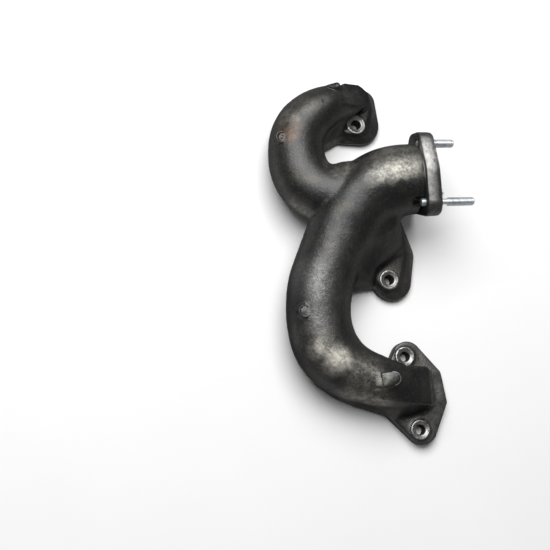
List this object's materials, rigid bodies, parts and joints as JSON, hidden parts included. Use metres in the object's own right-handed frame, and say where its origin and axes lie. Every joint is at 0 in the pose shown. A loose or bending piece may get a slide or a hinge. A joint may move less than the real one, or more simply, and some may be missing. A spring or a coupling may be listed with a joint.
{
  "type": "exhaust manifold",
  "caption": "Cast-iron exhaust manifold with two curved arms and a centre duct, three head flanges, and a side outlet flange with studs.",
  "frame": {"origin": "centre of the middle port on the head face", "axes": "+X toward the outlet, +Y along the bolt row toward the single-bolt end port, +Z away from the cylinder head"},
  "size_m": [0.2241, 0.4185, 0.0954],
  "materials": {
    "cast_iron": "rough",
    "zinc_steel": "satin"
  },
  "bodies": {
    "root": {"manifold_casting": "cast_iron", "outlet_stud_upper": "zinc_steel", "outlet_stud_near": "zinc_steel", "outlet_stud_far": "zinc_steel"}
  },
  "joints": []
}
